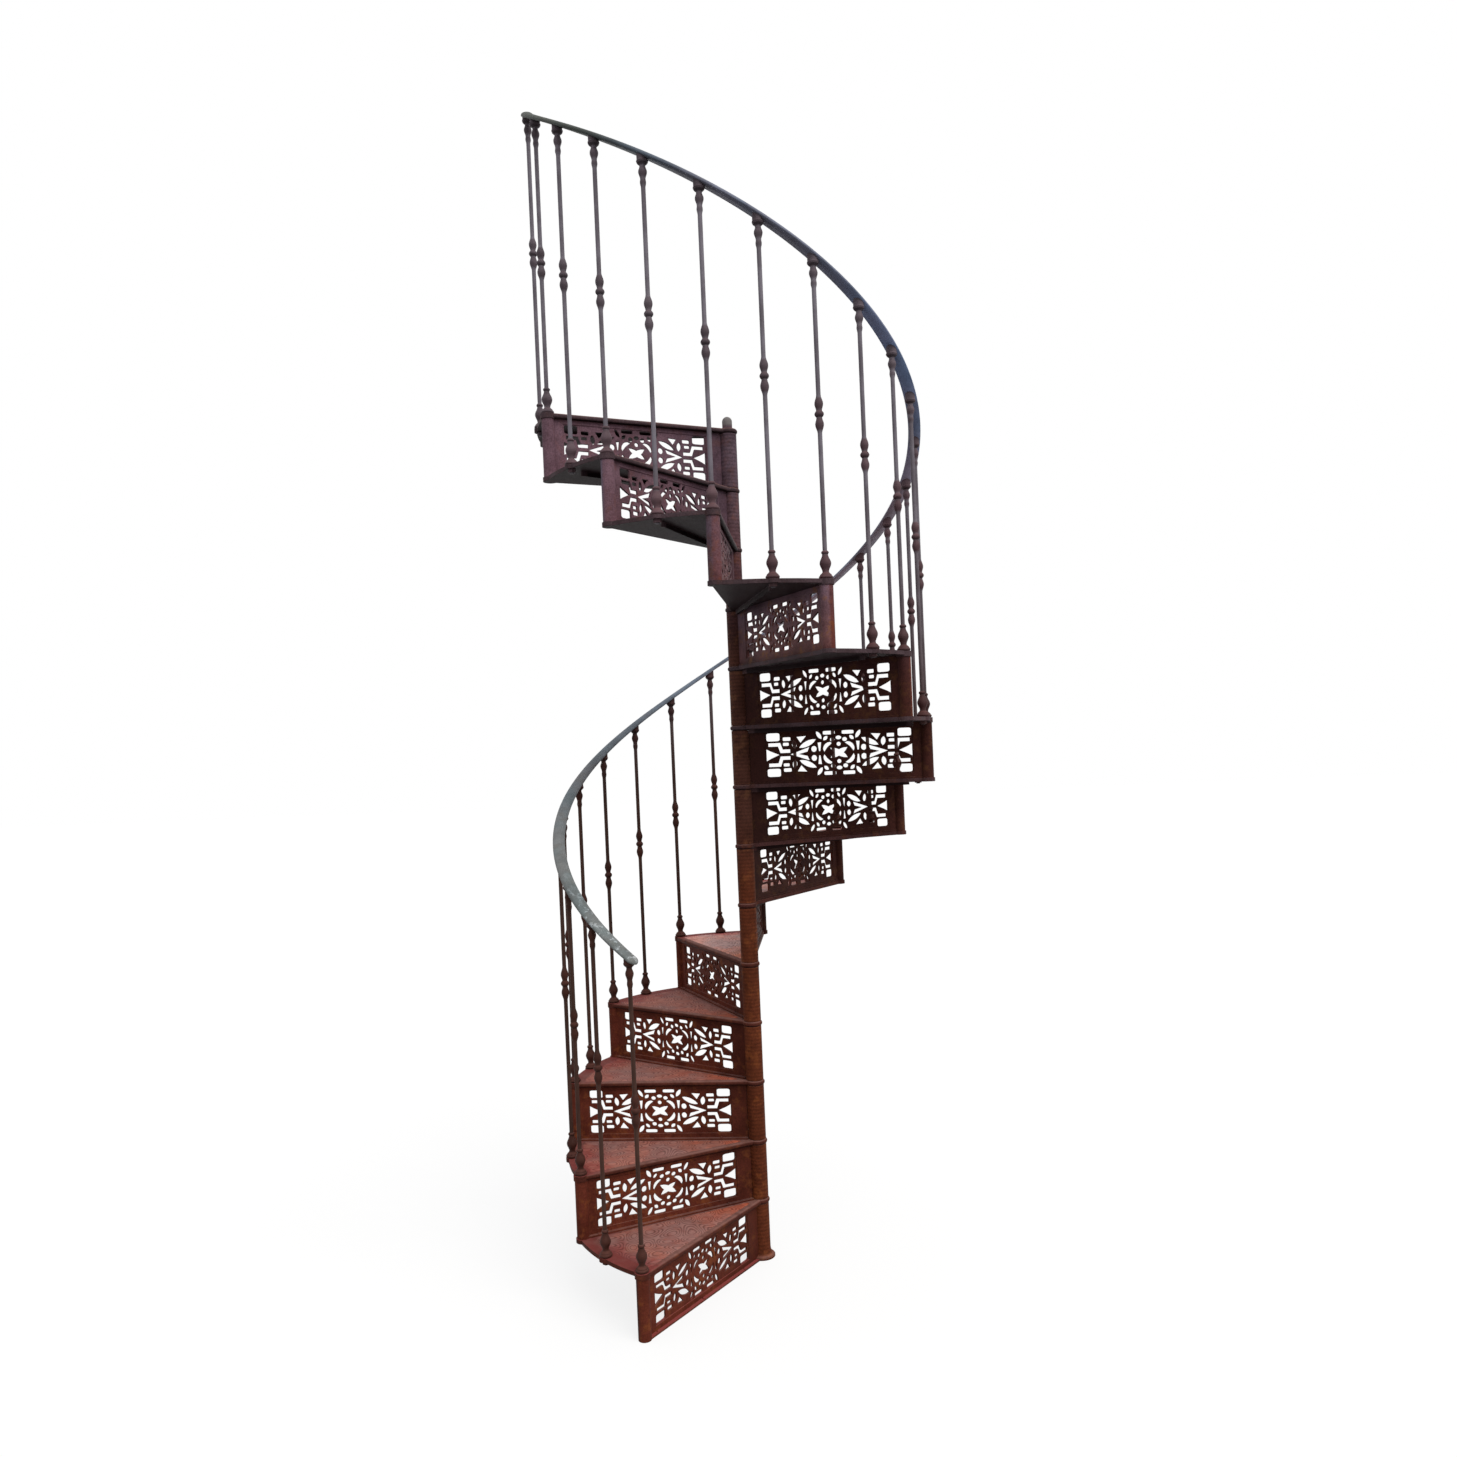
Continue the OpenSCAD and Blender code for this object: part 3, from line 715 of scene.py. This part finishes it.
def tread_sheet(k, along=224, across=128):
    """Points and heights of the sheet on tread k: row = radius, column = angle between the two lines that
    run a little behind the nosing and a little in front of the next riser."""
    radius = np.linspace(SHEET_FROM, SHEET_TO, along)[:, None]
    share = np.linspace(0, 1, across)[None, :]
    low = -STEP_TURN + np.arcsin(BACK_LINE / radius)
    high = np.arcsin(FRONT_LINE / radius)
    angle = low + (high - low) * share
    x, y = radius * np.cos(angle), radius * np.sin(angle)
    from_ends = np.minimum(radius - SHEET_FROM, SHEET_TO - radius)
    from_sides = radius * (high - low) * np.minimum(share, 1 - share)
    rim = np.clip(np.minimum(from_ends, from_sides) / RIM_WIDTH, 0, 1)
    height = scrolls(x, y) * rim
    z = k * RISE - RIM_DIP * (1 - rim) + SHEET_LIFT * rim + RIDGE_HEIGHT * height
    return np.stack([*swing(x, y, k), z], axis=-1), height


print("sheets reach from", SHEET_FROM, "to", SHEET_TO, "m, ridges", RIDGE_HEIGHT, "m high")

# %% [markdown]
# The height of the pattern is kept as an attribute of the mesh, because the hollows are coloured darker
# than the ridges. The sheets have a redder coat than the treads and more dust, mottled with rust and grey,
# and the fifth and sixth of them are the palest, a painted reflection of the sky.

# %% Tread sheets: paint
HUB_ORANGE = (0.33, 0.080, 0.036, 1)
HOLLOW_DARKENING = (0.30, 0.21, 0.19, 1)
LOW_TONE, SKY_GLARE, HIGH_TONE = (1.17, 1.12, 1.12, 1), (2.5, 3.1, 3.3, 1), (0.95, 1.05, 1.12, 1)
GLARE_FROM, GLARE_TO = (0.80, 0.92), (1.00, 1.30)
RUSTY_PATCH, GREY_PATCH = (1.13, 0.98, 0.90, 1), (0.89, 0.98, 1.02, 1)
sheet_paint, tree, shader, colour = finish(
    "sheet_paint", gloss=0.2,
    low_paint=(0.255, 0.072, 0.056, 1), high_paint=(0.14, 0.075, 0.075, 1),
    dust_colour=DUST, rust_colour=RUST, worn_colour=(0.3, 0.16, 0.14, 1),
    dust=0.75, rust=0.3, worn=0.0, shade=0.0, grain=1.0, climb_from=0.9, climb_to=1.9)
path = use_group(tree, walked)
colour = mix(tree, path["Rim"], colour, CRIMSON)
colour = mix(tree, path["Hub"], colour, HUB_ORANGE)
relief = put(tree, "ShaderNodeAttribute", attribute_name="relief").outputs["Fac"]
# The hollows of the pattern are multiplied darker.
colour = mix(tree, spread(tree, relief, 0.65, 0.05, 0.0, 0.62), colour, HOLLOW_DARKENING, "MULTIPLY")
# Painted reflection: the fifth and sixth treads are lightened for the sky that they reflect.
tone_and_glare = mix(tree, above(tree, *GLARE_FROM), LOW_TONE, SKY_GLARE)
tone_and_glare = mix(tree, above(tree, *GLARE_TO), tone_and_glare, HIGH_TONE)
colour = mix(tree, 1.0, colour, tone_and_glare, "MULTIPLY")
mottle = use_group(tree, clouded, {"First": RUSTY_PATCH, "Second": GREY_PATCH,
                                   "Scale": 7.0, "Detail": 5.0, "Roughness": 0.7})
colour = mix(tree, 1.0, colour, mottle["Tint"], "MULTIPLY")
tree.links.new(colour, shader.inputs["Base Color"])
print(sheet_paint.name, "has", len(tree.nodes), "nodes")

# %% [markdown]
# One loop lays all the sheets. The columns run the other way round in the mesh, because the faces of a
# grid look up only when its rows and columns turn anticlockwise.

# %% Tread sheets: pieces
for k in range(1, STEPS + 1):
    points, height = tread_sheet(k)
    sheet = lay_grid(f"tread_scrolls_{k:02d}", points[:, ::-1], sheet_paint)
    heights = height[:, ::-1].astype(np.float32).ravel()
    sheet.data.attributes.new("relief", "FLOAT", "POINT").data.foreach_set("value", heights)
print(STEPS, "scroll sheets of", len(sheet.data.polygons), "faces")

# %% [markdown]
# ## Camera
# The place of the lens was worked out from the ends of the nosings and the feet of the balusters.
# It stands about 3.6 m from the newel at eye height, leans down a little and is turned a little on
# its own axis. The picture is a crop, so its middle is not where the lens points: a small shift of
# the lens puts that right without turning the camera.

# %% Camera
LENS_DISTANCE, LENS_HEIGHT = 3.5684, 1.6454
TURN, PITCH, ROLL, YAW = (math.radians(a) for a in (4.748, -0.411, -2.438, -0.519))
PICTURE_PIXELS, FOCAL_PIXELS = 1457, 1108.93
MIDDLE_X, MIDDLE_Y = 731.04, 754.18
SENSOR = 36
forward = Vector((math.sin(YAW) * math.cos(PITCH), math.cos(YAW) * math.cos(PITCH), math.sin(PITCH)))
level = Vector((math.cos(YAW), -math.sin(YAW), 0))
upright = level.cross(forward)
right = level * math.cos(ROLL) + upright * math.sin(ROLL)
up = upright * math.cos(ROLL) - level * math.sin(ROLL)
aim = Matrix((right, up, -forward)).transposed().to_4x4()
stand = Matrix.Rotation(TURN, 4, "Z") @ Matrix.Translation((0, -LENS_DISTANCE, LENS_HEIGHT))
camera = bpy.data.objects.new("camera", bpy.data.cameras.new("camera"))
camera.matrix_world = stand @ aim
camera.data.sensor_width = SENSOR
camera.data.lens = FOCAL_PIXELS / PICTURE_PIXELS * SENSOR
camera.data.shift_x = (PICTURE_PIXELS / 2 - MIDDLE_X) / PICTURE_PIXELS
camera.data.shift_y = (MIDDLE_Y - PICTURE_PIXELS / 2) / PICTURE_PIXELS
scene.collection.objects.link(camera)
scene.camera = camera
print("camera at", [round(v, 3) for v in camera.location])

# %% [markdown]
# ## Soft sky
# A soft sky lights the stair from all sides. What the lens sees directly is plain white: the Light
# Path node tells a ray from the lens, or one seen in a mirror or through glass, from a ray of light.

# %% Soft sky
SKY_STRENGTH = 0.66


def seen_directly(tree):
    """1 for rays from the lens, mirrors and glass, 0 for rays of light."""
    ray = put(tree, "ShaderNodeLightPath").outputs
    mirrored = sums(tree, "MAXIMUM", ray["Is Camera Ray"], ray["Is Glossy Ray"])
    return sums(tree, "MAXIMUM", mirrored, ray["Is Transmission Ray"])


scene.view_settings.view_transform = "Standard"
world = bpy.data.worlds.new("studio")
scene.world = world
world.use_nodes = True
sky = world.node_tree
soft = sky.nodes["Background"]
soft.inputs["Color"].default_value = (0.95, 0.97, 1.0, 1)
soft.inputs["Strength"].default_value = SKY_STRENGTH
white = put(sky, "ShaderNodeBackground", {"Color": (1, 1, 1, 1), "Strength": 1.0})
pick = put(sky, "ShaderNodeMixShader", {0: seen_directly(sky), 1: soft.outputs[0], 2: white.outputs[0]})
sky.links.new(pick.outputs[0], sky.nodes["World Output"].inputs["Surface"])
print("sky strength", SKY_STRENGTH)

# %% [markdown]
# ## Floor
# The lens sees the floor as four fifths plain white and one fifth lit surface, so the stair still has
# a shadow to stand on. For light the floor is a dull grey, which leaves the undersides dark.

# %% Floor
FLOOR_SIZE, FLOOR_DROP = 60, 0.0005
LIT_SHARE = 0.2
bpy.ops.mesh.primitive_plane_add(size=FLOOR_SIZE, location=(0, 0, -FLOOR_DROP))
floor = bpy.context.object
floor.name = "floor"
floor_paint, tree, shader = painted("floor_paint")
shader.inputs["Base Color"].default_value = (0.22, 0.21, 0.20, 1)
shader.inputs["Specular IOR Level"].default_value = 0.0
shine = put(tree, "ShaderNodeEmission", {"Color": (1, 1, 1, 1), "Strength": 1 - LIT_SHARE})
shadow = put(tree, "ShaderNodeBsdfDiffuse", {"Color": (LIT_SHARE, LIT_SHARE, LIT_SHARE, 1)})
pale = put(tree, "ShaderNodeAddShader", {0: shine.outputs[0], 1: shadow.outputs[0]})
pick = put(tree, "ShaderNodeMixShader", {0: seen_directly(tree), 1: shader.outputs[0], 2: pale.outputs[0]})
tree.links.new(pick.outputs[0], tree.nodes["Material Output"].inputs["Surface"])
floor.data.materials.append(floor_paint)
print("floor", FLOOR_SIZE, "m square")

# %% [markdown]
# ## Key lamp
# One broad warm sun from the right and the front shapes the round pieces. Its wide angle gives the
# soft shadows of a bright overcast day.

# %% Key lamp
KEY_AIM = Vector((-0.55, 0.55, -0.9))
key = bpy.data.objects.new("key", bpy.data.lights.new("key", "SUN"))
key.data.energy = 2.0
key.data.angle = math.radians(50)
key.data.color = (1.0, 0.96, 0.90)
key.rotation_euler = KEY_AIM.to_track_quat("-Z", "Y").to_euler()
scene.collection.objects.link(key)
print("key lamp", key.data.energy)
